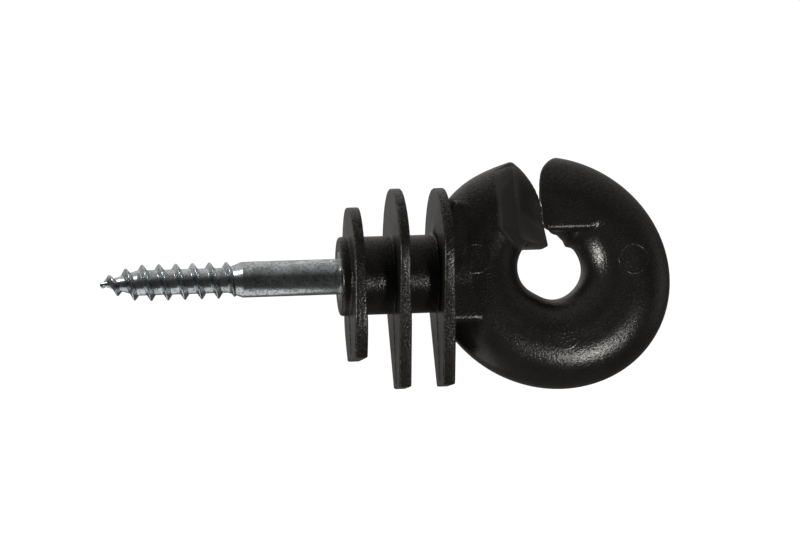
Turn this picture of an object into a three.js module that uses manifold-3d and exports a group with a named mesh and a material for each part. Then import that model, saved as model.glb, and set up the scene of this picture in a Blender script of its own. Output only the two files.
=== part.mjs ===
// Screw-in ring insulator for an electric fence: a moulded ring body on a steel wood screw.
//
// All sizes are in millimetres. Positions along the screw axis (X) are stations measured
// from the screw's tip. Y is the depth, with the mould's parting plane at y = 0, and Z is up,
// with the slit in the ring at the top. The finished group is moved at the end of the file
// so that its origin is the centre of its bounding box.

import * as THREE from 'three';
import { mergeVertices } from 'three/addons/utils/BufferGeometryUtils.js';
import Module from 'manifold-3d';

const wasm = await Module();
wasm.setup();

// ---------------------------------------------------------------- driving dimensions

const shankDiameter = 6.0;
const threadMajorDiameter = 6.1;
const threadRootDiameter = 4.2;
const threadPitch = 2.8;
const threadLength = 22.0;
const threadRidgeWidth = 1.4;
const threadPhase = 0.87; // where the ridge starts round the axis, as a share of a turn
const threadCrestWidth = 0.3;
const tipLength = 6.5;
const tipRadius = 0.15;
const shoulderLength = 2.4;
const threadOverlap = 0.5; // how far the shank's piece reaches into the threaded one

const seatStation = 40.2; // the plane that stops against the post
const collarDiameter = 8.4;
const collarThickness = 1.2;
const collarPlay = 0.05; // between its bore and the shank

const bossDiameter = 13.3;
const bossBevel = 0.5;
const neckDiameter = 13.2;
const neckEndStation = 61.6;

const anchorLength = 19.0; // the screw's grooved end, buried in the neck
const anchorGrooveDepth = 0.5;
const anchorGrooveSpacing = 3.2;
const anchorPlainEnd = 2.0;
const mouldingGap = 0.3; // room left between the moulding and the steel

const sheds = [
  {
    station: 41.75, thickness: 2.15, edgeThickness: 1.65,
    topRadius: 11.55, roundEnd: [11.54, 0.5], sidePull: [11.5, -1.6],
    sideStart: [11.0, -3.5], sideEnd: [9.4, -10.0],
    cornerPull: [8.3, -12.2], footHalfWidth: 6.4, footDepth: 14.1,
  },
  {
    station: 49.2, thickness: 1.8, edgeThickness: 1.7,
    topRadius: 14.5, roundEnd: [13.2, 6.0], sidePull: [14.4, 2.9],
    sideStart: [12.2, -2.2], sideEnd: [6.2, -16.0],
    cornerPull: [5.2, -18.3], footHalfWidth: 4.9, footDepth: 19.1,
  },
  {
    station: 56.55, thickness: 1.8, edgeThickness: 1.7,
    topRadius: 14.4, roundEnd: [13.1, 6.0], sidePull: [14.3, 2.9],
    sideStart: [12.2, -2.2], sideEnd: [6.2, -16.0],
    cornerPull: [5.2, -18.3], footHalfWidth: 4.9, footDepth: 18.95,
  },
];

const ringThickness = 13.0; // along Y, the same as the block's
const ringCentre = { x: 75.84, z: -0.47 };
const ringLongRadius = 21.1;
const ringShortRadius = 19.3;
const ringTurn = THREE.MathUtils.degToRad(-29.7); // the long radius points down and away
const ringRounding = { depth: 6.0, width: 6.2 };
const eyeCentre = { x: 75.9, z: 0.3 };
const eyeRadius = 5.45;

const block = { start: 57.6, end: 64.6, bottom: -8.7, top: 11.9, edgeRadius: 1.5 };

// The tongues beside the slit: the right one is in the front half, the left one in the back.
// reach is how far the root lies from the eye's centre, and overlap how far the tip passes it.
const tongueTop = 12.5;
const tongues = [
  { side: 1, underside: 6.1, reach: 8.3, overlap: 2.6 },
  { side: -1, underside: 3.95, reach: 8.1, overlap: 1.5 },
];

// The slit in plan, from the front face to the back one, beside the middle of the eye. Both
// walls flare where they meet a face. The left wall leans away from the right one as it rises,
// by the lean given third for each millimetre: not at the front face, most at its tip.
const slitLeftWall = [
  [-9.4, -7.0, 0], [-8.9, -6.5, 0], [-5.15, -3.2, 0.07],
  [-2.5, 1.65, 0.12], [1.6, 6.5, 0.165], [1.8, 7.0, 0.165],
];
const slitRightWall = [
  [-2.45, -7.0, 0], [-2.25, -6.5, 0], [3.5, 3.2, 0], [8.2, 6.5, 0], [8.7, 7.0, 0],
];
const slitBottom = 2.0;
const slitTop = 25.0;

const roundSegments = 40;
const ringRoundingSegments = 6;
const overshoot = 1.0; // how far a piece runs into or past the one it joins or cuts

// ---------------------------------------------------------------- materials

const blackPlastic = new THREE.MeshStandardMaterial({
  color: 0x2b2927, roughness: 0.55, metalness: 0.0,
});
const zincPlatedSteel = new THREE.MeshStandardMaterial({
  color: 0xb4bcc2, roughness: 0.32, metalness: 1.0,
});

// ---------------------------------------------------------------- solids

// Turns a closed three.js geometry into a solid that can be joined and cut.
function toSolid(geometry) {
  const bare = geometry.clone();
  bare.deleteAttribute('normal');
  bare.deleteAttribute('uv');
  const merged = mergeVertices(bare, 1e-4);
  return new wasm.Manifold(new wasm.Mesh({
    numProp: 3,
    vertProperties: new Float32Array(merged.attributes.position.array),
    triVerts: new Uint32Array(merged.index.array),
  }));
}

function toGeometry(solid) {
  const mesh = solid.getMesh();
  const geometry = new THREE.BufferGeometry();
  geometry.setAttribute('position', new THREE.BufferAttribute(mesh.vertProperties, 3));
  geometry.setIndex(new THREE.BufferAttribute(mesh.triVerts, 1));
  geometry.computeVertexNormals();
  return geometry;
}

// A round piece about the screw axis, from [radius, station] points that start and end on it.
function turned(profile) {
  const points = profile.map(([radius, station]) => new THREE.Vector2(radius, station));
  const geometry = new THREE.LatheGeometry(points, roundSegments);
  geometry.rotateZ(-Math.PI / 2);
  return toSolid(geometry);
}

// A plate lying in the YZ plane, from its outline in [y, z], between two stations.
function plateAcrossAxis(shape, start, end) {
  const geometry = new THREE.ExtrudeGeometry(shape, {
    depth: end - start, bevelEnabled: false, curveSegments: roundSegments,
  });
  const toYZ = new THREE.Matrix4().makeBasis(
    new THREE.Vector3(0, 1, 0), new THREE.Vector3(0, 0, 1), new THREE.Vector3(1, 0, 0),
  );
  geometry.applyMatrix4(toYZ);
  geometry.translate(start, 0, 0);
  return toSolid(geometry);
}

// A prism standing along Z, from its plan in [x, y].
function uprightPrism(plan, bottom, top) {
  const shape = new THREE.Shape(plan.map(([x, y]) => new THREE.Vector2(x, y)));
  const geometry = new THREE.ExtrudeGeometry(shape, { depth: top - bottom, bevelEnabled: false });
  geometry.translate(0, 0, bottom);
  return geometry;
}

// A slab lying in the XZ plane, from its outline in [x, z], centred on the parting plane.
function slabAlongDepth(shape, thickness, rounding, segments) {
  const geometry = new THREE.ExtrudeGeometry(shape, {
    depth: thickness - 2 * rounding.depth,
    bevelEnabled: true,
    bevelThickness: rounding.depth,
    bevelSize: rounding.width,
    bevelOffset: -rounding.width,
    bevelSegments: segments,
    curveSegments: roundSegments / 2,
  });
  geometry.translate(0, 0, -(thickness - 2 * rounding.depth) / 2);
  geometry.rotateX(Math.PI / 2);
  return toSolid(geometry);
}

function box(from, to) {
  const size = to.map((value, axis) => value - from[axis]);
  const geometry = new THREE.BoxGeometry(...size);
  geometry.translate(...from.map((value, axis) => value + size[axis] / 2));
  return toSolid(geometry);
}

// ---------------------------------------------------------------- the moulded body

function shed(spec) {
  const outline = new THREE.Shape();
  const startAngle = Math.atan2(spec.roundEnd[1], spec.roundEnd[0]);
  outline.absarc(0, 0, spec.topRadius, startAngle, Math.PI - startAngle, false);
  outline.quadraticCurveTo(
    -spec.sidePull[0], spec.sidePull[1], -spec.sideStart[0], spec.sideStart[1],
  );
  outline.lineTo(-spec.sideEnd[0], spec.sideEnd[1]);
  outline.quadraticCurveTo(
    -spec.cornerPull[0], spec.cornerPull[1], -spec.footHalfWidth, -spec.footDepth,
  );
  outline.lineTo(spec.footHalfWidth, -spec.footDepth);
  outline.quadraticCurveTo(
    spec.cornerPull[0], spec.cornerPull[1], spec.sideEnd[0], spec.sideEnd[1],
  );
  outline.lineTo(spec.sideStart[0], spec.sideStart[1]);
  outline.quadraticCurveTo(
    spec.sidePull[0], spec.sidePull[1],
    spec.topRadius * Math.cos(startAngle), spec.topRadius * Math.sin(startAngle),
  );
  const end = spec.station + spec.thickness;
  const plate = plateAcrossAxis(outline, spec.station, end);

  // The draft: the plate is thickest on the parting plane.
  const taper = (spec.thickness - spec.edgeThickness) / 2;
  const reach = spec.topRadius;
  const draft = uprightPrism([
    [spec.station, 0],
    [spec.station + taper, -reach],
    [end - taper, -reach],
    [end, 0],
    [end - taper, reach],
    [spec.station + taper, reach],
  ], -2 * reach, 2 * reach);
  return plate.intersect(toSolid(draft));
}

function bossAndNeck() {
  const bossRadius = bossDiameter / 2;
  const neckRadius = neckDiameter / 2;
  return turned([
    [0, seatStation],
    [bossRadius - bossBevel, seatStation],
    [bossRadius, seatStation + bossBevel],
    [bossRadius, sheds[0].station + overshoot],
    [neckRadius, sheds[0].station + overshoot],
    [neckRadius, neckEndStation],
    [0, neckEndStation],
  ]);
}

function ringWithEye() {
  const shape = new THREE.Shape();
  shape.absellipse(
    ringCentre.x, ringCentre.z, ringLongRadius, ringShortRadius,
    0, 2 * Math.PI, false, ringTurn,
  );
  const eye = new THREE.Path();
  eye.absarc(eyeCentre.x, eyeCentre.z, eyeRadius, 0, 2 * Math.PI, true);
  shape.holes.push(eye);
  return slabAlongDepth(shape, ringThickness, ringRounding, ringRoundingSegments);
}

// The block that joins the last shed to the ring, with its top and bottom edges rounded.
function blockBehindSheds() {
  const half = ringThickness / 2;
  const radius = block.edgeRadius;
  const outline = new THREE.Shape();
  outline.moveTo(-half, block.bottom);
  outline.lineTo(half, block.bottom);
  outline.lineTo(half, block.top - radius);
  outline.absarc(half - radius, block.top - radius, radius, 0, Math.PI / 2, false);
  outline.lineTo(radius - half, block.top);
  outline.absarc(radius - half, block.top - radius, radius, Math.PI / 2, Math.PI, false);
  return plateAcrossAxis(outline, block.start, block.end);
}

// A tongue fills the ring's section beside the slit, in one half of the depth.
function tongue({ side, underside, reach, overlap }) {
  const xs = [eyeCentre.x - side * overlap, eyeCentre.x + side * reach];
  const ys = [0, -side * ringThickness / 2];
  return box(
    [Math.min(...xs), Math.min(...ys), underside],
    [Math.max(...xs), Math.max(...ys), tongueTop],
  );
}

function slit() {
  const outline = [...slitRightWall, ...[...slitLeftWall].reverse()];
  const plan = outline.map(([x, y]) => [eyeCentre.x + x, y]);
  const geometry = uprightPrism(plan, slitBottom, slitTop);
  const leftTongue = tongues.find(({ side }) => side < 0);
  const samePlace = 0.01;
  const position = geometry.attributes.position;
  for (let i = 0; i < position.count; i += 1) {
    const corner = outline.find(([x, y]) => (
      Math.hypot(eyeCentre.x + x - position.getX(i), y - position.getY(i)) < samePlace
    ));
    const height = position.getZ(i) - leftTongue.underside;
    position.setX(i, position.getX(i) - corner[2] * height);
  }
  return toSolid(geometry);
}

// The steel's place in the moulding: the collar's recess and the anchor's blind hole.
function steelPocket() {
  const collarRadius = collarDiameter / 2 + mouldingGap;
  const anchorRadius = shankDiameter / 2 + mouldingGap;
  const collarEnd = seatStation + collarThickness + mouldingGap;
  const anchorEnd = seatStation + anchorLength + mouldingGap;
  return turned([
    [0, seatStation - overshoot],
    [collarRadius, seatStation - overshoot],
    [collarRadius, collarEnd],
    [anchorRadius, collarEnd],
    [anchorRadius, anchorEnd],
    [0, anchorEnd],
  ]);
}

function insulatorBody() {
  let body = bossAndNeck();
  for (const spec of sheds) {
    body = body.add(shed(spec));
  }
  body = body.add(blockBehindSheds());
  body = body.add(ringWithEye());
  for (const spec of tongues) {
    body = body.add(tongue(spec));
  }
  return body.subtract(slit()).subtract(steelPocket());
}

// ---------------------------------------------------------------- the steel

// The cut thread, right-handed: a cylinder whose skin is pushed out along a helix.
function threadedEnd() {
  const rowsPerTurn = 11;
  const around = 24;
  const rows = Math.round(threadLength / threadPitch * rowsPerTurn);
  const startRadius = 1;
  const geometry = new THREE.CylinderGeometry(
    startRadius, startRadius, threadLength, around, rows,
  );
  geometry.rotateZ(-Math.PI / 2);
  geometry.translate(threadLength / 2, 0, 0);
  const rootRadius = threadRootDiameter / 2;
  const depth = threadMajorDiameter / 2 - rootRadius;
  const flank = (threadRidgeWidth - threadCrestWidth) / 2;
  const position = geometry.attributes.position;
  for (let i = 0; i < position.count; i += 1) {
    const station = position.getX(i);
    const y = position.getY(i);
    const z = position.getZ(i);
    const onSkin = Math.hypot(y, z) > startRadius / 2;
    if (onSkin) {
      const turn = Math.atan2(z, y) / (2 * Math.PI);
      const along = station / threadPitch - turn - threadPhase;
      const phase = THREE.MathUtils.euclideanModulo(along, 1);
      const fromCrest = Math.abs(phase - 0.5) * threadPitch;
      const rise = THREE.MathUtils.clamp((threadRidgeWidth / 2 - fromCrest) / flank, 0, 1);
      const taper = THREE.MathUtils.clamp(station / tipLength, 0, 1);
      const core = THREE.MathUtils.lerp(tipRadius, rootRadius, taper * (1.5 - taper / 2));
      const radius = core + depth * rise * taper;
      position.setY(i, y * radius);
      position.setZ(i, z * radius);
    }
  }
  return toSolid(geometry);
}

function shankAndAnchor() {
  const shankRadius = shankDiameter / 2;
  const rootRadius = threadRootDiameter / 2;
  const end = seatStation + anchorLength;
  const profile = [
    [0, threadLength - threadOverlap],
    [rootRadius, threadLength - threadOverlap],
    [rootRadius, threadLength],
    [shankRadius, threadLength + shoulderLength],
  ];
  const firstGroove = seatStation + collarThickness + anchorGrooveSpacing;
  for (let x = firstGroove; x < end - anchorPlainEnd; x += anchorGrooveSpacing) {
    profile.push([shankRadius, x - anchorGrooveDepth]);
    profile.push([shankRadius - anchorGrooveDepth, x]);
    profile.push([shankRadius, x + anchorGrooveDepth]);
  }
  profile.push([shankRadius, end], [0, end]);
  return turned(profile);
}

function thrustCollar() {
  const outer = turned([
    [0, seatStation],
    [collarDiameter / 2, seatStation],
    [collarDiameter / 2, seatStation + collarThickness],
    [0, seatStation + collarThickness],
  ]);
  const boreRadius = shankDiameter / 2 + collarPlay;
  const bore = turned([
    [0, seatStation - overshoot],
    [boreRadius, seatStation - overshoot],
    [boreRadius, seatStation + collarThickness + overshoot],
    [0, seatStation + collarThickness + overshoot],
  ]);
  return outer.subtract(bore);
}

// ---------------------------------------------------------------- the assembly

function part(name, solid, material) {
  const mesh = new THREE.Mesh(toGeometry(solid), material);
  mesh.name = name;
  return mesh;
}

const insulator = new THREE.Group();
insulator.add(part('insulator_body', insulatorBody(), blackPlastic));
insulator.add(part('screw', threadedEnd().add(shankAndAnchor()), zincPlatedSteel));
insulator.add(part('thrust_collar', thrustCollar(), zincPlatedSteel));

const middle = new THREE.Box3().setFromObject(insulator).getCenter(new THREE.Vector3());
insulator.position.copy(middle).negate();

export default insulator;
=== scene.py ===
"""The looks of a screw-in ring insulator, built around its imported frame.

Lengths below are in millimetres from the screw's point: x is the station along the screw's
axis, y the depth with the mould's parting plane at 0 and the front below 0, and z the height
above the axis. The meshes are put into the frame in metres, and the studio is in metres too.
"""

import math

import bmesh
import bpy
import numpy as np
from mathutils import Matrix, Vector


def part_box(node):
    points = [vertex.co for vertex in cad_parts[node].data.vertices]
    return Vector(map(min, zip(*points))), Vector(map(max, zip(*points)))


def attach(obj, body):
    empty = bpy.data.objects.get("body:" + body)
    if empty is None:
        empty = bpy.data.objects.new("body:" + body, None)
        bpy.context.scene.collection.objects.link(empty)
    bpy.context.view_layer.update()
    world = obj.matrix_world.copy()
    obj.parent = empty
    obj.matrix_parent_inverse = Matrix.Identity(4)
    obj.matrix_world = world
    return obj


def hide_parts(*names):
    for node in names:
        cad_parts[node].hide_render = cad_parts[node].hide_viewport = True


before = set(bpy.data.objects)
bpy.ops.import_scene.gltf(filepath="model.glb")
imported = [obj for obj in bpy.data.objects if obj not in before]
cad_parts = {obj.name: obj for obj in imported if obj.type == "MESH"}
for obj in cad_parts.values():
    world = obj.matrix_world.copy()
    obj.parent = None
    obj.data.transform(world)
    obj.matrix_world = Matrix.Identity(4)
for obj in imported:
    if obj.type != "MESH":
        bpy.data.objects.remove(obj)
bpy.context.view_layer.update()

# ------------------------------------------------------------------ places from the frame

MM = 0.001
screw_low, screw_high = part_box("screw")
body_low, body_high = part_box("insulator_body")
collar_low, collar_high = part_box("thrust_collar")
POINT = Vector((screw_low.x, 0.0, (screw_low.z + screw_high.z) / 2))


def station(x):
    """The station, in mm, of a place x along the frame, in metres."""
    return (x - POINT.x) / MM


SEAT = station(body_low.x)
RING_END = station(body_high.x)
RING_BOTTOM = (body_low.z - POINT.z) / MM
RING_TOP = (body_high.z - POINT.z) / MM
ANCHOR_END = station(screw_high.x)
COLLAR_RADIUS = (collar_high.z - collar_low.z) / MM / 2
COLLAR_THICKNESS = (collar_high.x - collar_low.x) / MM

# ------------------------------------------------------------------ sizes of the moulding

# A shed's side and corner are (depth, height) points; its rim grows by "growth" below the neck.
SHEDS = [
    dict(start=41.75, thickness=2.15, rim=1.65, growth=0.0, top=11.55,
         side=((11.1, -3.0), (9.4, -10.0)), corner=(6.6, -13.8), foot=14.1),
    dict(start=49.2, thickness=1.8, rim=1.7, growth=0.25, top=14.5,
         side=((12.2, -2.2), (6.2, -16.0)), corner=(5.0, -18.8), foot=19.1),
    dict(start=56.55, thickness=1.8, rim=1.7, growth=0.25, top=14.4,
         side=((12.2, -2.2), (6.2, -16.0)), corner=(5.0, -18.65), foot=18.95),
]
SHEDS_END = SHEDS[-1]["start"] + SHEDS[-1]["thickness"]
SHED_EDGE = 0.28
SHED_FILLET = 0.08
FLANK_BLEND = 2.0
CROWN_BLEND = 3.0
FOOT_EDGE = 0.35

# A shed goes over from its lower section to its upper one between these heights.
FOOT_FULL = -9.0
UPPER_FULL = 2.0

# The line of flash down the middle of a shed's left face.
FLASH = dict(width=0.3, proud=0.13, ragged=0.25, waves=(5.1, 2.3), end=0.8, edge=0.08, root=0.5)

BOSS_RADIUS = 6.65
BOSS_EDGE = 0.5
NECK_RADIUS = 6.6
NECK_END = 61.6
SHANK_RADIUS = 3.0

# How far the boss and the neck run on into each other.
RUN_IN = 1.0

HALF_DEPTH = 6.5
RING_CENTRE = (75.84, -0.47)
RING_RADII = (21.1, 19.3)
RING_TURN = math.radians(-29.7)
RING_FILLET = 0.4
OUTER_ROUND = 7.2
INNER_ROUND = 6.2
ROUND_DEPTH = 6.0
EYE_CENTRE = (75.9, 0.3)
EYE_RADIUS = 5.45

# Each wave is its angle round the eye and its spread, in degrees, and its height.
RING_WAVES = [(116, 17, -0.45)]
EYE_WAVES = [(-120, 24, -0.36), (-10, 34, 0.28), (48, 8, -0.6), (73, 8, 0.3)]

BLOCK = dict(start=57.6, end=65.4, lean=0.15, bottom=-8.7, top=11.9,
             top_edge=1.2, bottom_edge=1.0, end_round=5.0)

# The pieces on either side of the slit: the right one fills the front half of the depth and
# the left one the back half. A reach counts sideways from the eye's centre.
TONGUES = [
    dict(side=1, underside=6.1, reach=9.3, corner=1.7),
    dict(side=-1, underside=3.95, reach=8.1, corner=0.7),
]
TONGUE_ROUND = 3.0
TONGUE_EDGE = 0.85

# The slit's walls. Places count from the eye's centre, a lean is per mm of height or depth,
# and a bend is per mm squared of height above where it starts. The scale brings the slanted
# walls' field close to real distances.
TIP = dict(place=1.5, height=5, lean=0.165, bend_start=12.5, bend=0.05)
RIGHT_WALL = dict(front=-2.25, lean=0.546, corner=(3.5, 3.2), back_lean=1.424,
                  bend_start=15.6, bend=0.1)
RIDGE = dict(place=-5.3, height=6, lean=0.07, depth=-3.2, blend=1.0)
LIP = dict(reach=2.2, spread=0.7, below=0.5)
HOLLOW = dict(least=0.8, extra=3.2, height=9, spread=4.5)
FLARE = dict(edge=-8.9, lean=0.6, lean_below=7, least=0.9, most_rolled=0.9)
SLIT_START = 2.0
SLIT_SCALE = 0.85
SLIT_EDGE = 0.35

COLLAR_PLAY = 0.02
SHANK_PLAY = 0.04
ANCHOR_PLAY = 0.05
POCKET_AHEAD = 2

# The ejector marks: station, height and radius of each, and how many dots it holds.
MARKS = [(62.5, 1.8, 2.4), (89.4, 1.0, 2.45), (77.0, -11.3, 2.5)]
DOTS = [0, 0, 14]
MARK_LINE = 0.11
MARK_PROUD = 0.10
MARK_WORN = 0.35
DOT_PROUD = 0.06
DOT_SIZE = 0.14
DOTS_WITHIN = 0.8
DOTS_NARROWED = 0.6
DOTS_SHIFT = 0.3
GOLDEN_TURN = math.pi * (3 - math.sqrt(5))

VOXEL = 0.26
GRID_MARGIN = 1.0
REFINED = 2

# ------------------------------------------------------------------ distance fields
# Each field is negative inside the material and close to the distance in mm outside it.


def blend_union(a, b, radius):
    """Joins two fields, with a fillet in the corner between them."""
    h = np.maximum(radius - np.abs(a - b), 0) / radius
    return np.minimum(a, b) - h * h * radius / 4


def blend_cut(a, b, radius):
    """Keeps what is inside both fields, with the edge between them softened."""
    return -blend_union(-a, -b, radius)


def round_cut(a, b, radius):
    """Keeps what is inside both fields, with a true round edge between them."""
    over = np.hypot(np.maximum(a + radius, 0), np.maximum(b + radius, 0))
    return np.minimum(np.maximum(a, b) + radius, 0) + over - radius


def line_field(u, v, start, end):
    """The distance to the right of the line from start to end."""
    du, dv = end[0] - start[0], end[1] - start[1]
    return ((u - start[0]) * dv - (v - start[1]) * du) / math.hypot(du, dv)


def slab(value, low, high):
    """What lies between two levels."""
    return np.maximum(low - value, value - high)


def shed_field(x, y, z, shed):
    """A plate that is round above, narrows down to a flat foot and is thinnest at its sides."""
    across = np.abs(y)
    high_side, low_side = shed["side"]
    flank = blend_cut(
        line_field(across, z, low_side, high_side),
        line_field(across, z, shed["corner"], low_side),
        FLANK_BLEND,
    )
    foot = round_cut(flank, -shed["foot"] - z, FOOT_EDGE)
    crown = np.where(z > 0, np.hypot(y, z), across) - shed["top"]
    outline = blend_cut(crown, foot, CROWN_BLEND)
    upper = np.clip((z - FOOT_FULL) / (UPPER_FULL - FOOT_FULL), 0, 1)
    thinning = (shed["thickness"] - shed["rim"]) / 2 * upper * across / shed["top"]
    growth = shed["growth"] * (1 - upper)
    face = slab(x, shed["start"] + thinning, shed["start"] + shed["thickness"] - thinning + growth)
    plate = round_cut(outline, face, SHED_EDGE)
    return np.minimum(plate, flash_field(x, y, z, shed))


def flash_field(x, y, z, shed):
    """The ragged line of flash on a shed's left face, from the neck down to near the foot."""
    first, second = FLASH["waves"]
    wave = FLASH["ragged"] * np.sin(z * first) * np.sin(z * second + 1)
    proud = FLASH["proud"] * (1 - FLASH["ragged"] + wave)
    line = round_cut(
        np.maximum(shed["start"] - proud - x, np.abs(y) - FLASH["width"] / 2),
        slab(z, FLASH["end"] - shed["foot"], -NECK_RADIUS),
        FLASH["edge"],
    )
    return np.maximum(line, x - shed["start"] - FLASH["root"])


def neck_field(x, y, z):
    """The round neck and the boss at its left end."""
    radius = np.hypot(y, z)
    boss = round_cut(radius - BOSS_RADIUS, slab(x, SEAT, SHEDS[0]["start"] + RUN_IN), BOSS_EDGE)
    neck = np.maximum(radius - NECK_RADIUS, slab(x, SEAT + RUN_IN, NECK_END))
    return np.minimum(boss, neck)


def uneven(x, z, waves):
    """How far a line round the eye is pushed outwards, from bumps at angles round the eye."""
    angle = np.arctan2(z - EYE_CENTRE[1], x - EYE_CENTRE[0])
    push = 0
    for place, spread, height in waves:
        turn = np.abs((angle - math.radians(place) + math.pi) % (2 * math.pi) - math.pi)
        push = push + height * np.exp(-((turn / math.radians(spread)) ** 2))
    return push


def ring_outline(x, z):
    """The distance outside the ring's outer line, a slightly long oval."""
    c, s = math.cos(RING_TURN), math.sin(RING_TURN)
    u = (x - RING_CENTRE[0]) * c + (z - RING_CENTRE[1]) * s
    v = (z - RING_CENTRE[1]) * c - (x - RING_CENTRE[0]) * s
    a, b = RING_RADII
    level = np.hypot(u / a, v / b)
    centre_guard = 1e-6
    slope = np.hypot(u / a**2, v / b**2) / np.maximum(level, centre_guard)
    least_slope = 0.5 / a
    return (level - 1) / np.maximum(slope, least_slope) - uneven(x, z, RING_WAVES)


def rolled_slab(y, across):
    """A slab that is flat where across is below 0 and rolled away where it reaches 1."""
    deep = np.maximum(np.abs(y) - (HALF_DEPTH - ROUND_DEPTH), 0) / ROUND_DEPTH
    return (np.hypot(np.maximum(across, 0), deep) - 1) * (OUTER_ROUND + ROUND_DEPTH) / 2


def outwards(x, z):
    """How far across the outer roll a point lies: 0 where the roll starts, 1 at the outer line."""
    return (ring_outline(x, z) + OUTER_ROUND) / OUTER_ROUND


def from_eye(x, z):
    """The distance from the eye's centre, evened out for the eye's waves."""
    return np.hypot(x - EYE_CENTRE[0], z - EYE_CENTRE[1]) - uneven(x, z, EYE_WAVES)


def ring_field(x, y, z):
    """The ring: flat on its faces, rolled over towards its outer line and into the eye."""
    inwards = (EYE_RADIUS + INNER_ROUND - from_eye(x, z)) / INNER_ROUND
    return rolled_slab(y, np.maximum(outwards(x, z), inwards))


def block_field(x, y, z):
    """The block behind the last shed, with rounded edges and a leaning, rounded end."""
    section = round_cut(np.abs(y) - HALF_DEPTH, z - BLOCK["top"], BLOCK["top_edge"])
    section = round_cut(section, BLOCK["bottom"] - z, BLOCK["bottom_edge"])
    end = BLOCK["end"] - BLOCK["lean"] * (z - (BLOCK["top"] + BLOCK["bottom"]) / 2)
    block = np.maximum(round_cut(section, x - end, BLOCK["end_round"]), BLOCK["start"] - x)
    return np.maximum(block, EYE_RADIUS + INNER_ROUND - from_eye(x, z))


def tip_line(z):
    """Where the left piece ends at the back face, counted from the eye's centre."""
    high = np.maximum(z - TIP["bend_start"], 0)
    return TIP["place"] - TIP["lean"] * (z - TIP["height"]) - TIP["bend"] * high * high


def right_wall(y, z):
    """Where the right piece ends, counted from the eye's centre."""
    corner_place, corner_depth = RIGHT_WALL["corner"]
    front = RIGHT_WALL["lean"] * (y + HALF_DEPTH) + RIGHT_WALL["front"]
    back = corner_place + RIGHT_WALL["back_lean"] * (y - corner_depth)
    high = np.maximum(z - RIGHT_WALL["bend_start"], 0)
    return np.maximum(front, back) + RIGHT_WALL["bend"] * high * high


def tongue_field(x, y, z, tongue):
    """The ring's section beside the slit, squared off above the eye in one half of the depth."""
    side = tongue["side"]
    place = x - EYE_CENTRE[0]
    end = right_wall(y, z) - place if side > 0 else place - tip_line(z)
    plan = round_cut(tongue["underside"] - z, place * side - tongue["reach"], TONGUE_ROUND)
    plan = round_cut(plan, end, tongue["corner"])
    section = round_cut(plan, np.abs(y) - HALF_DEPTH, TONGUE_EDGE)
    return np.maximum(np.maximum(section, y * side), rolled_slab(y, outwards(x, z)))


def front_depth(x, z):
    """The depth of the ring's front face, which rolls back towards its outer line."""
    across = np.clip(outwards(x, z), 0, FLARE["most_rolled"])
    return ROUND_DEPTH - HALF_DEPTH - ROUND_DEPTH * np.sqrt(1 - across * across)


def left_walls(x, y, z):
    """Where the left wall and its flare stand, and how far back along the wall a depth is.

    The wall runs from a ridge back to the tip, with a hollow in it and a lip at its foot. The
    flare runs from the ridge forwards to its edge on the ring's front face.
    """
    front = front_depth(x, z)
    ridge = RIDGE["place"] - RIDGE["lean"] * (z - RIDGE["height"])
    ridge_depth = -blend_union(-RIDGE["depth"], -front - FLARE["least"], RIDGE["blend"])
    above_lip = np.maximum(z - TONGUES[1]["underside"], -LIP["below"])
    lip = LIP["reach"] * np.exp(-above_lip / LIP["spread"])
    tip = tip_line(z)
    along = (y - ridge_depth) / (HALF_DEPTH - ridge_depth)
    swell = HOLLOW["extra"] * np.exp(-(((z - HOLLOW["height"]) / HOLLOW["spread"]) ** 2))
    hollow = (HOLLOW["least"] + swell) * np.clip(along * (1 - along), 0, 1)
    wall = ridge + lip + (tip - ridge - lip) * along - hollow
    edge = FLARE["edge"] + FLARE["lean"] * np.maximum(FLARE["lean_below"] - z, 0)
    flare = edge + (y - front) * (ridge - edge) / (ridge_depth - front)
    return wall, flare, along


def slit_field(x, y, z):
    """The slanting gap: a flared left wall with a curved ridge, and a straight right wall."""
    wall, flare, _ = left_walls(x, y, z)
    place = x - EYE_CENTRE[0]
    left = np.minimum(wall, flare) - place
    right = place - right_wall(y, z)
    gap = np.maximum(left * SLIT_SCALE, right * SLIT_SCALE)
    return np.maximum(gap, SLIT_START - z)


def pocket_field(x, y, z):
    """The room that the collar and the screw's buried end take up."""
    radius = np.hypot(y, z)
    start = SEAT - POCKET_AHEAD
    recess = np.maximum(radius - COLLAR_RADIUS - COLLAR_PLAY, slab(x, start, SEAT + COLLAR_THICKNESS))
    bore = np.maximum(radius - SHANK_RADIUS - SHANK_PLAY, slab(x, start, ANCHOR_END + ANCHOR_PLAY))
    return np.minimum(recess, bore)


def body_field(x, y, z):
    """The whole moulding."""
    field = neck_field(x, y, z)
    for shed in SHEDS:
        field = blend_union(field, shed_field(x, y, z, shed), SHED_FILLET)
    ring = np.minimum(ring_field(x, y, z), block_field(x, y, z))
    for tongue in TONGUES:
        ring = np.minimum(ring, tongue_field(x, y, z, tongue))
    ring = round_cut(ring, -slit_field(x, y, z), SLIT_EDGE)
    field = blend_union(field, ring, RING_FILLET)
    return np.maximum(field, -pocket_field(x, y, z))


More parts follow.
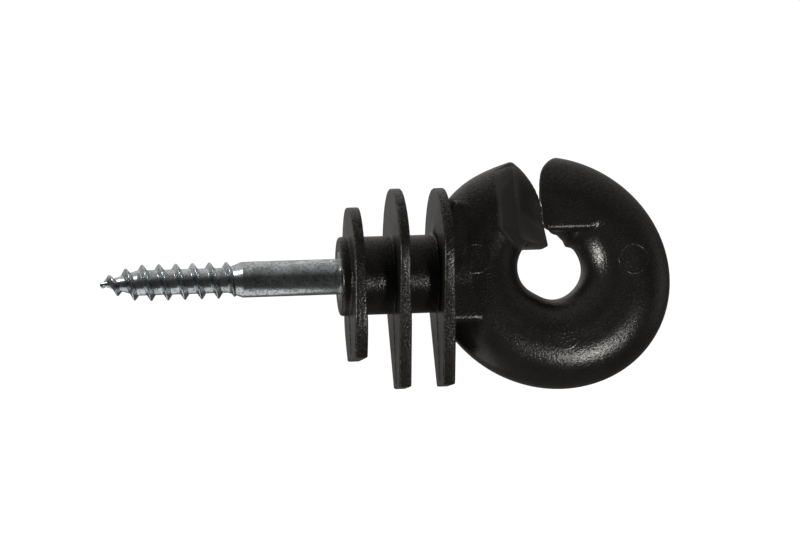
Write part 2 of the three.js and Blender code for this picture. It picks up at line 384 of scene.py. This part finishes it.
def relief(x, y, z):
    """How proud the ejector rings, and the small dots inside one of them, stand."""
    rise = 0
    for number, (centre_x, centre_z, radius) in enumerate(MARKS):
        out = np.hypot(x - centre_x, z - centre_z)
        turn = np.arctan2(z - centre_z, x - centre_x)
        worn = 1 - MARK_WORN + MARK_WORN * np.sin(2 * turn + number)
        rise = rise + MARK_PROUD * worn * np.exp(-(((out - radius) / MARK_LINE) ** 2))
        for dot in range(DOTS[number]):
            away = radius * DOTS_WITHIN * math.sqrt((dot + 0.5) / DOTS[number])
            angle = dot * GOLDEN_TURN
            dot_x = centre_x + away * math.cos(angle) * DOTS_NARROWED + DOTS_SHIFT
            dot_z = centre_z + away * math.sin(angle) - DOTS_SHIFT
            near = ((x - dot_x) ** 2 + (z - dot_z) ** 2) / DOT_SIZE**2
            rise = rise + DOT_PROUD * np.exp(-near)
    return rise * (y < -HALF_DEPTH / 2)


def marked_field(x, y, z):
    """The whole moulding with its ejector marks."""
    return body_field(x, y, z) - relief(x, y, z)


# ------------------------------------------------------------------ a mesh from a field


def grid_axes(low, high, step):
    """The places along each axis of a grid that spans a box with some room around it."""
    return [
        np.arange(a - GRID_MARGIN, b + GRID_MARGIN + step, step, dtype=np.float32)
        for a, b in zip(low, high)
    ]


def surface_net(values, axes):
    """Quads around the cells that a field's surface passes through."""
    inside = values < 0
    shape = np.array(values.shape)
    cells = shape - 1
    total = np.zeros((int(np.prod(cells)), 3), np.float32)
    count = np.zeros(int(np.prod(cells)), np.int32)
    rings = []
    for axis in range(3):
        low = [slice(None)] * 3
        high = [slice(None)] * 3
        low[axis], high[axis] = slice(0, -1), slice(1, None)
        low, high = tuple(low), tuple(high)
        at = np.argwhere(inside[low] != inside[high])
        others = [a for a in range(3) if a != axis]
        keep = np.all((at[:, others] > 0) & (at[:, others] < cells[others]), axis=1)
        at = at[keep]
        ahead = at.copy()
        ahead[:, axis] += 1
        v0 = values[tuple(at.T)]
        v1 = values[tuple(ahead.T)]
        crossing = at.astype(np.float32)
        crossing[:, axis] += v0 / (v0 - v1)
        u, v = [(1, 2), (2, 0), (0, 1)][axis]
        corners = []
        for du, dv in ((0, 0), (1, 0), (1, 1), (0, 1)):
            cell = at.copy()
            cell[:, u] -= du
            cell[:, v] -= dv
            flat = np.ravel_multi_index(tuple(cell.T), tuple(cells))
            corners.append(flat)
            for k in range(3):
                total[:, k] += np.bincount(flat, crossing[:, k], len(total)).astype(np.float32)
            count += np.bincount(flat, minlength=len(count)).astype(np.int32)
        quads = np.stack(corners, axis=1)
        outward = ~inside[tuple(at.T)]
        quads[outward] = quads[outward][:, ::-1]
        rings.append(quads)
    used = np.flatnonzero(count)
    number = np.full(len(count), -1, np.int64)
    number[used] = np.arange(len(used))
    spots = total[used] / count[used, None]
    start = np.array([a[0] for a in axes])
    step = axes[0][1] - axes[0][0]
    return start + spots * step, number[np.concatenate(rings)]


def settle(points, field, step):
    """Moves points onto the field's surface along its slope."""
    nudge = 0.02
    least_slope = 0.2
    passes = 3
    for _ in range(passes):
        x, y, z = points.T
        value = field(x, y, z)
        slope = np.stack([
            field(x + nudge, y, z) - field(x - nudge, y, z),
            field(x, y + nudge, z) - field(x, y - nudge, z),
            field(x, y, z + nudge) - field(x, y, z - nudge),
        ], axis=1) / (2 * nudge)
        length = np.maximum(np.sum(slope * slope, axis=1), least_slope)
        move = slope * (value / length)[:, None]
        points = points - np.clip(move, -step / 2, step / 2)
    return points


def curving(points, field):
    """How sharply the surface bends outwards at its points, per mm."""
    x, y, z = points.T
    reach = 0.12
    near = [
        field(x + reach, y, z), field(x - reach, y, z),
        field(x, y + reach, z), field(x, y - reach, z),
        field(x, y, z + reach), field(x, y, z - reach),
    ]
    return (sum(near) - len(near) * field(x, y, z)) / reach**2


def new_object(name, points, faces, material):
    """A smooth mesh object from points in mm from the screw's point."""
    mesh = bpy.data.meshes.new(name)
    places = np.asarray(points, float) * MM + np.array(POINT)
    mesh.from_pydata(places.tolist(), [], [list(map(int, face)) for face in faces])
    mesh.polygons.foreach_set("use_smooth", np.ones(len(mesh.polygons), bool))
    mesh.materials.append(material)
    mesh.update()
    piece = bpy.data.objects.new(name, mesh)
    bpy.context.scene.collection.objects.link(piece)
    return piece


def mesh_points(mesh):
    """A mesh's points in mm from the screw's point."""
    places = np.empty(len(mesh.vertices) * 3)
    mesh.vertices.foreach_get("co", places)
    return (places.reshape(-1, 3) - np.array(POINT)) / MM


def near_mark(points, margin):
    """Which points lie on the front face in or near an ejector mark."""
    near = np.zeros(len(points), bool)
    for centre_x, centre_z, radius in MARKS:
        out = np.hypot(points[:, 0] - centre_x, points[:, 2] - centre_z)
        near |= (out < radius + margin) & (points[:, 1] < -HALF_DEPTH / 2)
    return near


def refine_marks(mesh):
    """Splits the faces round the ejector marks and raises the marks' lines and dots."""
    first_margin = 0.7
    margin_step = 0.3
    settled_margin = 0.8
    work = bmesh.new()
    work.from_mesh(mesh)
    for level in range(REFINED):
        points = (np.array([v.co[:] for v in work.verts]) - np.array(POINT)) / MM
        near = near_mark(points, first_margin - margin_step * level)
        work.verts.ensure_lookup_table()
        edges = [e for e in work.edges if near[e.verts[0].index] and near[e.verts[1].index]]
        bmesh.ops.subdivide_edges(work, edges=edges, cuts=1, use_grid_fill=True)
        work.verts.index_update()
    work.to_mesh(mesh)
    work.free()
    points = mesh_points(mesh)
    near = near_mark(points, settled_margin)
    points[near] = settle(points[near], marked_field, VOXEL)
    mesh.vertices.foreach_set("co", (points * MM + np.array(POINT)).ravel())
    mesh.update()


# ------------------------------------------------------------------ values for the materials
# The moulding's points carry four values that its material reads. Each is worked out from the mesh
# alone, so it holds in every view. Besides real polish, wear and rims, they paint light and shade: a
# paler sheen on the slit's walls, pale highlights on worn edges and rims, and shade on the sheds'
# lower parts and the neck, this last through a lower shine.

# How far the slit's polish and its painted sheen reach from the slit's surface and how fast they
# fade. Then how strong the painted sheen on the slit's left wall is at the ridge, and how much it
# grows towards the tip.
POLISH_AND_SHEEN_START = 1.4
POLISH_AND_SHEEN_FADE = 0.3
WALL_PAINTED_SHEEN = (0.25, 0.45)
FLAT_FACE = 0.93
SHEDS_MARGIN = 0.4
NECK_SKIN = 0.1
# Specular shine: its full level, and how much is taken away. Some goes on the rims for their rougher
# texture and on worn edges. The rest is painted shade on the rims towards the foot, on the sheds'
# lower faces and on the neck.
FULL_SHINE = 0.5
SHINE_LOST_TO_WEAR_AND_SHADE = dict(rim=0.5, foot=0.3, shaded_lower_part=0.72, neck=0.35, wear_and_glint=0.45)

# Where each of these starts and what it grows over: wear, with its painted edge highlights, with how
# sharply the surface bends, per mm, and the painted shade on a shed's lower part and its foot with
# the depth below the axis.
WEAR_AND_GLINT = (1.1, 1.8)
SHADED_LOWER_SPAN = (1, 9)
SHADED_FOOT_SPAN = (12, 4)


def fading_in(value, span):
    """0 up to where the span starts, rising to 1 over its length."""
    start, length = span
    return np.clip((value - start) / length, 0, 1)


def slit_polish_and_sheen(points):
    """How smooth the slit's walls are and how much painted sheen lightens them: 1 on the flare, less
    along the wall, growing from the ridge towards the tip, 0 elsewhere.
    """
    away = np.abs(slit_field(*points.T))
    wall, flare, along = left_walls(*points.T)
    least, extra = WALL_PAINTED_SHEEN
    sheen = np.where(flare < wall, 1, least + extra * np.clip(along, 0, 1))
    return np.clip(POLISH_AND_SHEEN_START - away / POLISH_AND_SHEEN_FADE, 0, 1) * sheen


def set_looks(mesh):
    """Gives the moulding's points their polish with a painted sheen, rim, wear with painted edge
    highlights, and shine with painted shade.
    """
    points = mesh_points(mesh)
    normals = np.empty(len(points) * 3)
    mesh.vertices.foreach_get("normal", normals)
    facing = np.abs(normals.reshape(-1, 3))
    radius = np.hypot(points[:, 1], points[:, 2])
    below = -points[:, 2]
    on_sheds = points[:, 0] < SHEDS_END + SHEDS_MARGIN

    # Polish marks the slit's smoother walls and also paints a paler sheen on them.
    polish_and_sheen = slit_polish_and_sheen(points)
    rim = (1 - facing[:, 0]) * np.clip(radius - NECK_RADIUS - 1, 0, 1) * on_sheds
    # Wear on convex edges, which also paints pale edge highlights there.
    wear_and_glint = fading_in(curving(points, body_field), WEAR_AND_GLINT) * (1 - polish_and_sheen)
    wear_and_glint = wear_and_glint * (facing[:, 1] < FLAT_FACE)

    # Painted shade: the sheds' faces lose shine towards the bottom, and their rims lose more towards
    # the foot.
    shaded_lower_part = fading_in(below, SHADED_LOWER_SPAN) * np.clip(radius - NECK_RADIUS, 0, 1)
    lost_on_rim = rim * (SHINE_LOST_TO_WEAR_AND_SHADE["rim"] + SHINE_LOST_TO_WEAR_AND_SHADE["foot"] * fading_in(below, SHADED_FOOT_SPAN))
    painted_shade_below = SHINE_LOST_TO_WEAR_AND_SHADE["shaded_lower_part"] * shaded_lower_part * (1 - rim)
    shine_and_painted_shade = 1 - np.maximum(lost_on_rim, painted_shade_below) * on_sheds
    # Painted shade on the neck: it loses shine as well.
    shine_and_painted_shade = shine_and_painted_shade - SHINE_LOST_TO_WEAR_AND_SHADE["neck"] * on_sheds * (radius < NECK_RADIUS + NECK_SKIN)
    shine_and_painted_shade = FULL_SHINE * shine_and_painted_shade * (1 - SHINE_LOST_TO_WEAR_AND_SHADE["wear_and_glint"] * wear_and_glint)

    for name, values in (("polish_and_sheen", polish_and_sheen), ("rim", rim), ("wear_and_glint", wear_and_glint), ("shine_and_painted_shade", shine_and_painted_shade)):
        mesh.attributes.new(name, "FLOAT", "POINT").data.foreach_set("value", values)


def moulded_body(material):
    """The moulding: boss, neck, sheds, block and slit ring in one skin."""
    low = (SEAT, -SHEDS[1]["top"], RING_BOTTOM)
    high = (RING_END, SHEDS[1]["top"], RING_TOP)
    step = VOXEL * 1
    axes = grid_axes(low, high, step)
    x, y, z = np.meshgrid(*axes, indexing="ij", sparse=True)
    values = body_field(x, y, z).astype(np.float32)
    points, faces = surface_net(values, axes)
    points = settle(points.astype(float), body_field, step)
    piece = new_object("moulded_body", points, faces, material)
    refine_marks(piece.data)
    set_looks(piece.data)
    return piece


# ------------------------------------------------------------------ the screw

THREAD = dict(length=22.0, pitch=2.8, root=2.1, crest=3.05, base=1.4, flat=0.16, phase=0.87)
THREAD_START = dict(height=0.4, growth=1.6, over=0.8)
THREAD_END = dict(runs_on=1.6, fades_over=1.2)
TIP_LENGTH = 6.5
TIP_RADIUS = 0.12
BLUNTED = 0.3
SHOULDER = 2.4
SHOULDER_AHEAD = 0.4
SHOULDER_PLAIN = 0.8
ANCHOR_GROOVE = dict(pitch=3.2, depth=0.5, slope=6.4)
COLLAR_CLEARANCE = 0.03
COLLAR_BEVEL = 0.12
AROUND = 96


def thread_radius(x, turn):
    """The screw's radius at a station and a place round the axis, counted in turns."""
    taper = np.clip(x / TIP_LENGTH, 0, 1)
    core = TIP_RADIUS + (THREAD["root"] - TIP_RADIUS) * taper
    from_crest = np.abs((x / THREAD["pitch"] - turn - THREAD["phase"]) % 1 - 0.5)
    flank = (THREAD["base"] - THREAD["flat"]) / 2
    rise = np.clip((THREAD["base"] / 2 - from_crest * THREAD["pitch"]) / flank, 0, 1)
    growth = np.clip(THREAD_START["height"] + THREAD_START["growth"] * taper, 0, 1)
    height = (THREAD["crest"] - THREAD["root"]) * growth
    ridge = core + height * rise * np.clip(x / THREAD_START["over"], 0, 1)
    fade = np.clip((THREAD["length"] + THREAD_END["runs_on"] - x) / THREAD_END["fades_over"], 0, 1)
    ridge = core + (ridge - core) * fade
    swell = np.clip((x - THREAD["length"] + SHOULDER_AHEAD) / SHOULDER, 0, 1)
    shank = np.where(swell > 0, THREAD["root"] + (SHANK_RADIUS - THREAD["root"]) * swell, 0)
    return np.maximum(ridge, shank)


def skin_of_revolution(name, stations, radius_at, material):
    """A closed skin about the screw's axis whose radius may change round it."""
    turns = np.arange(AROUND) / AROUND
    x, turn = np.meshgrid(stations, turns, indexing="ij")
    radius = radius_at(x, turn)
    angle = turn * 2 * math.pi
    points = np.stack([x, radius * np.cos(angle), radius * np.sin(angle)], axis=2).reshape(-1, 3)
    rows = len(stations)
    row, here = np.meshgrid(np.arange(rows - 1), np.arange(AROUND), indexing="ij")
    after = (here + 1) % AROUND
    quads = [
        row * AROUND + here, row * AROUND + after,
        (row + 1) * AROUND + after, (row + 1) * AROUND + here,
    ]
    faces = np.stack(quads, axis=2).reshape(-1, 4)[:, ::-1].tolist()
    faces.append(list(range(AROUND))[::-1])
    faces.append([(rows - 1) * AROUND + n for n in range(AROUND)])
    return new_object(name, points, faces, material)


def steel_screw(material):
    """The screw: a blunt point, the thread, a shoulder, the shank and its buried grooves."""
    fine_step = 0.07
    shank_step = 1.0
    groove_step = 0.1
    thread = np.arange(BLUNTED, THREAD["length"] + SHOULDER + SHOULDER_PLAIN, fine_step)
    shank = np.arange(thread[-1] + shank_step / 2, SEAT + COLLAR_THICKNESS + 1, shank_step)
    grooves = np.arange(shank[-1] + groove_step, ANCHOR_END, groove_step)
    stations = np.concatenate([thread, shank, grooves, [ANCHOR_END]])

    def radius(x, turn):
        wave = np.abs((x - shank[-1]) / ANCHOR_GROOVE["pitch"] % 1 - 0.5)
        groove = ANCHOR_GROOVE["depth"] * np.clip(1 - wave * ANCHOR_GROOVE["slope"], 0, 1)
        return np.where(x > shank[-1], SHANK_RADIUS - groove, thread_radius(x, turn))

    return skin_of_revolution("steel_screw", stations, radius, material)


def steel_collar(material):
    """A collar with softened edges, as one closed ring of sections."""
    inner = SHANK_RADIUS + COLLAR_CLEARANCE
    outer = COLLAR_RADIUS
    bevel = COLLAR_BEVEL
    start, end = SEAT, SEAT + COLLAR_THICKNESS
    section = [
        (start, inner + bevel), (start, outer - bevel), (start + bevel / 3, outer - bevel / 3),
        (start + bevel, outer), (end - bevel, outer), (end, outer - bevel),
        (end, inner + bevel), (end - bevel, inner), (start + bevel, inner),
        (start + bevel / 3, inner + bevel / 3),
    ]
    points = []
    for n in range(AROUND):
        angle = 2 * math.pi * n / AROUND
        points += [(x, r * math.cos(angle), r * math.sin(angle)) for x, r in section]
    size = len(section)
    faces = []
    for n in range(AROUND):
        here, there = n * size, (n + 1) % AROUND * size
        for m in range(size):
            after = (m + 1) % size
            faces.append((here + m, there + m, there + after, here + after))
    return new_object("steel_collar", points, faces, material)


# ------------------------------------------------------------------ shader helpers


def new_material(name):
    """An empty material: itself, its node tree and its shader."""
    material = bpy.data.materials.new(name)
    material.use_nodes = True
    tree = material.node_tree
    tree.nodes.clear()
    shader = tree.nodes.new("ShaderNodeBsdfPrincipled")
    output = tree.nodes.new("ShaderNodeOutputMaterial")
    tree.links.new(shader.outputs["BSDF"], output.inputs["Surface"])
    return material, tree, shader


def feed(tree, value, socket):
    """Links a socket to another node's output, or sets it to a fixed value."""
    if isinstance(value, bpy.types.NodeSocket):
        tree.links.new(value, socket)
    else:
        socket.default_value = value


def object_place(tree):
    """The place on the object, in metres."""
    return tree.nodes.new("ShaderNodeTexCoord").outputs["Object"]


def point_value(tree, name):
    """A value that the mesh's points carry."""
    node = tree.nodes.new("ShaderNodeAttribute")
    node.attribute_name = name
    return node.outputs["Fac"]


def noise(tree, place, scale, detail, roughness=0.5):
    """A cloudy value with about scale clouds to the metre."""
    node = tree.nodes.new("ShaderNodeTexNoise")
    node.inputs["Scale"].default_value = scale
    node.inputs["Detail"].default_value = detail
    node.inputs["Roughness"].default_value = roughness
    tree.links.new(place, node.inputs["Vector"])
    return node.outputs["Fac"]


def to_range(tree, value, low, high, from_low=0.0, from_high=1.0):
    """The value, stretched from one range to another and held at its ends."""
    node = tree.nodes.new("ShaderNodeMapRange")
    node.inputs["From Min"].default_value = from_low
    node.inputs["From Max"].default_value = from_high
    node.inputs["To Min"].default_value = low
    node.inputs["To Max"].default_value = high
    tree.links.new(value, node.inputs["Value"])
    return node.outputs["Result"]


def combine(tree, operation, first, second):
    """Two values put together by an operation of the Math node."""
    node = tree.nodes.new("ShaderNodeMath")
    node.operation = operation
    feed(tree, first, node.inputs[0])
    feed(tree, second, node.inputs[1])
    return node.outputs["Value"]


def mix_colour(tree, share, first, second):
    """A colour between two others."""
    node = tree.nodes.new("ShaderNodeMix")
    node.data_type = "RGBA"
    feed(tree, share, node.inputs["Factor"])
    feed(tree, first, node.inputs["A"])
    feed(tree, second, node.inputs["B"])
    return node.outputs["Result"]


def bump(tree, height, strength, depth):
    """A surface direction that a height ripples, up to a depth in metres."""
    node = tree.nodes.new("ShaderNodeBump")
    node.inputs["Distance"].default_value = depth
    feed(tree, strength, node.inputs["Strength"])
    tree.links.new(height, node.inputs["Height"])
    return node.outputs["Normal"]


# ------------------------------------------------------------------ materials

PLASTIC_GRAIN = 3400
PLASTIC_CLOUDS = 220
PLASTIC_PITS = 0.000055
PLASTIC_DARK = (0.0075, 0.0071, 0.0064, 1)
PLASTIC_LIGHT = (0.0110, 0.0103, 0.0093, 1)
# A paler colour painted on the slit's walls as their sheen.
PLASTIC_PAINTED_SHEEN = (0.036, 0.0355, 0.034, 1)
# A paler colour on convex edges and, by a smaller share, on the sheds' rims: partly real wear, partly
# painted edge highlights.
PLASTIC_WORN_AND_GLINT = (0.055, 0.051, 0.045, 1)
RIM_WEAR_AND_GLINT = 0.15


def black_plastic():
    """Black moulded plastic with the fine pitted grain of a spark-eroded mould, a painted sheen on
    the slit's walls, painted highlights on worn edges and rims, and painted shade on the sheds' lower
    parts and the neck through a lower specular level.
    """
    material, tree, shader = new_material("black_plastic")
    place = object_place(tree)
    grain = noise(tree, place, PLASTIC_GRAIN, 2.0, 0.6)
    cloud = noise(tree, place, PLASTIC_CLOUDS, 3.0)
    polish_and_sheen = point_value(tree, "polish_and_sheen")
    rim = point_value(tree, "rim")

    speckle = to_range(tree, grain, 0.5, 1.5, from_low=0.38, from_high=0.62)
    speckle = combine(tree, "POWER", speckle, to_range(tree, rim, 1.0, 2.2))
    # The specular level carries the painted shade held in the shine value, with the grain's speckle.
    shine_and_painted_shade = combine(tree, "MULTIPLY", point_value(tree, "shine_and_painted_shade"), speckle)
    tree.links.new(shine_and_painted_shade, shader.inputs["Specular IOR Level"])

    tint = to_range(tree, cloud, 0.0, 1.0, from_low=0.3, from_high=0.7)
    colour = mix_colour(tree, tint, PLASTIC_DARK, PLASTIC_LIGHT)
    # The slit's walls are painted paler as a sheen.
    colour = mix_colour(tree, polish_and_sheen, colour, PLASTIC_PAINTED_SHEEN)
    # Worn edges and rims are painted paler: partly wear, partly painted edge highlights.
    worn = combine(tree, "MULTIPLY", rim, RIM_WEAR_AND_GLINT)
    worn = combine(tree, "MAXIMUM", point_value(tree, "wear_and_glint"), worn)
    sparkle = to_range(tree, grain, 0.0, 1.0, from_low=0.45, from_high=0.66)
    worn = combine(tree, "MULTIPLY", worn, sparkle)
    colour = mix_colour(tree, worn, colour, PLASTIC_WORN_AND_GLINT)
    tree.links.new(colour, shader.inputs["Base Color"])

    rough = to_range(tree, cloud, 0.225, 0.275, from_low=0.3, from_high=0.7)
    tree.links.new(rough, shader.inputs["Roughness"])
    pitting = to_range(tree, polish_and_sheen, 1.0, 0.12)
    tree.links.new(bump(tree, grain, pitting, PLASTIC_PITS), shader.inputs["Normal"])
    return material


STEEL_GRAIN = 3400
STEEL_STRETCH = (0.3, 1, 1)
STEEL_LINES = 0.00003
STEEL_SPECKS = 2500
STEEL_PATCHES = 500
STEEL_DARK = (0.48, 0.54, 0.57, 1)
STEEL_LIGHT = (0.80, 0.89, 0.95, 1)
STEEL_BROWN = (0.22, 0.165, 0.115, 1)


def zinc_steel():
    """Bright zinc plating with fine marks drawn along the screw and small dull brown specks."""
    material, tree, shader = new_material("zinc_plated_steel")
    place = object_place(tree)
    stretch = tree.nodes.new("ShaderNodeMapping")
    stretch.inputs["Scale"].default_value = STEEL_STRETCH
    tree.links.new(place, stretch.inputs["Vector"])
    streaks = noise(tree, stretch.outputs["Vector"], STEEL_GRAIN, 3.0, 0.6)
    specks = noise(tree, place, STEEL_SPECKS, 3.0, 0.7)
    patches = noise(tree, place, STEEL_PATCHES, 3.0)

    tint = to_range(tree, patches, 0.0, 1.0, from_low=0.35, from_high=0.65)
    colour = mix_colour(tree, tint, STEEL_DARK, STEEL_LIGHT)
    dull = to_range(tree, specks, 0.0, 0.9, from_low=0.48, from_high=0.66)
    colour = mix_colour(tree, dull, colour, STEEL_BROWN)
    tree.links.new(colour, shader.inputs["Base Color"])
    shader.inputs["Metallic"].default_value = 1.0

    rough = to_range(tree, specks, 0.15, 0.36, from_low=0.3, from_high=0.7)
    tree.links.new(rough, shader.inputs["Roughness"])
    tree.links.new(bump(tree, streaks, 0.5, STEEL_LINES), shader.inputs["Normal"])
    return material


# ------------------------------------------------------------------ the studio

FLOOR_DROP = 0.30
FLOOR_SIZE = 0.5
FLOOR_DARK = (0.80, 0.80, 0.79, 1)
FLOOR_LIGHT = (0.84, 0.84, 0.83, 1)
FLOOR_GLOW = 0.35
FLOOR_CLOUDS = 12


def pale_floor():
    """A plain floor well below the object, with a little light of its own."""
    half = FLOOR_SIZE / 2
    mesh = bpy.data.meshes.new("floor")
    corners = [(-half, -half), (half, -half), (half, half), (-half, half)]
    mesh.from_pydata([(x, y, -FLOOR_DROP) for x, y in corners], [], [(0, 1, 2, 3)])
    material, tree, shader = new_material("pale_floor")
    cloud = noise(tree, object_place(tree), FLOOR_CLOUDS, 2.0)
    colour = mix_colour(tree, cloud, FLOOR_DARK, FLOOR_LIGHT)
    tree.links.new(colour, shader.inputs["Base Color"])
    shader.inputs["Roughness"].default_value = 0.8
    shader.inputs["Emission Color"].default_value = (1, 1, 0.99, 1)
    shader.inputs["Emission Strength"].default_value = FLOOR_GLOW
    mesh.materials.append(material)
    floor = bpy.data.objects.new("floor", mesh)
    bpy.context.scene.collection.objects.link(floor)
    floor.visible_glossy = False


LAMP_COLOUR = (1, 0.97, 0.93)


def soft_light(name, place, size, power, aim=(0, 0, 0)):
    """A round softbox at a place, turned towards what it is aimed at."""
    light = bpy.data.lights.new(name, "AREA")
    light.shape = "DISK"
    light.size = size
    light.energy = power
    light.color = LAMP_COLOUR
    lamp = bpy.data.objects.new(name, light)
    lamp.location = place
    lamp.rotation_euler = (Vector(aim) - Vector(place)).to_track_quat("-Z", "Y").to_euler()
    bpy.context.scene.collection.objects.link(lamp)
    return lamp


def shine_only_on(lamp, pieces):
    """Keeps a lamp's light off everything but some pieces."""
    lit = bpy.data.collections.new("lit_by_" + lamp.name)
    for piece in pieces:
        lit.objects.link(piece)
    lamp.light_linking.receiver_collection = lit


# How bright the surroundings are from straight below (0) to straight above (1).
SKY = [(0.0, 0.09), (0.34, 0.09), (0.44, 0.08), (0.60, 0.07), (0.74, 0.24), (1.0, 0.60)]
WINDOW = (-0.45, 0.50, 0.70)
SURROUND_COLOUR = (1, 0.965, 0.925, 1)
BACKDROP_LEVEL = 1.05


def surround_level(tree):
    """How brightly each direction lights the object."""
    direction = tree.nodes.new("ShaderNodeTexCoord").outputs["Generated"]
    split = tree.nodes.new("ShaderNodeSeparateXYZ")
    tree.links.new(direction, split.inputs["Vector"])
    right, back, up = split.outputs["X"], split.outputs["Y"], split.outputs["Z"]

    ramp = tree.nodes.new("ShaderNodeValToRGB")
    tree.links.new(to_range(tree, up, 0, 1, from_low=-1, from_high=1), ramp.inputs["Fac"])
    elements = ramp.color_ramp.elements
    while len(elements) < len(SKY):
        elements.new(0.5)
    for element, (spot, level) in zip(elements, SKY):
        element.position = spot
        element.color = (level, level, level, 1)
    facing = to_range(tree, back, 0.45, 1.0, from_low=-1, from_high=1)
    sky = combine(tree, "MULTIPLY", ramp.outputs["Color"], facing)

    behind = to_range(tree, back, 0, 0.20, from_low=0.75, from_high=1)
    above = to_range(tree, up, 0.12, 1, from_low=-0.25, from_high=0.35)
    behind = combine(tree, "MULTIPLY", behind, above)
    beside = to_range(tree, right, 0, 0.32, from_low=0.88, from_high=1)
    nearness = tree.nodes.new("ShaderNodeVectorMath")
    nearness.operation = "DOT_PRODUCT"
    nearness.inputs[1].default_value = Vector(WINDOW).normalized()
    tree.links.new(direction, nearness.inputs[0])
    window = to_range(tree, nearness.outputs["Value"], 0, 0.35, from_low=0.60, from_high=0.97)

    level = combine(tree, "ADD", sky, behind)
    level = combine(tree, "ADD", level, beside)
    return combine(tree, "ADD", level, window)


def white_surround():
    """A world that the camera sees as white and that lights the object in soft bands."""
    world = bpy.data.worlds.new("surround")
    bpy.context.scene.world = world
    world.use_nodes = True
    tree = world.node_tree
    tree.nodes.clear()
    dim = tree.nodes.new("ShaderNodeBackground")
    dim.inputs["Color"].default_value = SURROUND_COLOUR
    tree.links.new(surround_level(tree), dim.inputs["Strength"])
    white = tree.nodes.new("ShaderNodeBackground")
    white.inputs["Color"].default_value = (1, 1, 1, 1)
    white.inputs["Strength"].default_value = BACKDROP_LEVEL
    choose = tree.nodes.new("ShaderNodeMixShader")
    seen = tree.nodes.new("ShaderNodeLightPath").outputs["Is Camera Ray"]
    tree.links.new(seen, choose.inputs["Fac"])
    tree.links.new(dim.outputs["Background"], choose.inputs[1])
    tree.links.new(white.outputs["Background"], choose.inputs[2])
    output = tree.nodes.new("ShaderNodeOutputWorld")
    tree.links.new(choose.outputs["Shader"], output.inputs["Surface"])


AZIMUTH = math.radians(-6.8)
ELEVATION = math.radians(-4.5)
ROLL = math.radians(2.37)
DISTANCE = 0.49
LENS = 131.1
AIM_RIGHT = 0.00236
AIM_UP = 0.00192


def studio_camera():
    """A long lens from slightly left of and below the object, turned a little on its axis."""
    forward = Vector((
        -math.sin(AZIMUTH) * math.cos(ELEVATION),
        math.cos(AZIMUTH) * math.cos(ELEVATION),
        -math.sin(ELEVATION),
    ))
    right = Vector((math.cos(AZIMUTH), math.sin(AZIMUTH), 0))
    up = right.cross(forward)
    aim = right * AIM_RIGHT + up * AIM_UP
    turn = Matrix((right, up, -forward)).transposed() @ Matrix.Rotation(-ROLL, 3, "Z")
    camera = bpy.data.cameras.new("camera")
    camera.lens = LENS
    camera.clip_start = 0.01
    holder = bpy.data.objects.new("camera", camera)
    holder.matrix_world = Matrix.Translation(aim - forward * DISTANCE) @ turn.to_4x4()
    bpy.context.scene.collection.objects.link(holder)
    bpy.context.scene.camera = holder


# ------------------------------------------------------------------ the assembly

plastic = black_plastic()
steel = zinc_steel()
moulding = moulded_body(plastic)
screw = steel_screw(steel)
collar = steel_collar(steel)

for piece, node, slot in (
    (moulding, "insulator_body", "black_plastic"),
    (screw, "screw", "zinc_plated_steel"),
    (collar, "thrust_collar", "zinc_plated_steel"),
):
    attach(piece, "root")
    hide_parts(node)

pale_floor()
white_surround()
left = soft_light("left_softbox", (-0.66, -0.32, -0.14), 0.16, 4.2)
shine_only_on(left, [moulding])
high_left = soft_light("high_left_softbox", (-0.46, -0.34, 0.50), 0.14, 1.7)
shine_only_on(high_left, [screw, collar])
low_right = soft_light("low_right_softbox", (0.323, -0.697, -0.384), 0.11, 3.2)
shine_only_on(low_right, [moulding])
soft_light("low_panel", (-0.055, 0.015, -0.06), 0.10, 0.017, aim=(-0.055, 0.015, 0))
studio_camera()
bpy.context.scene.view_settings.view_transform = "Standard"
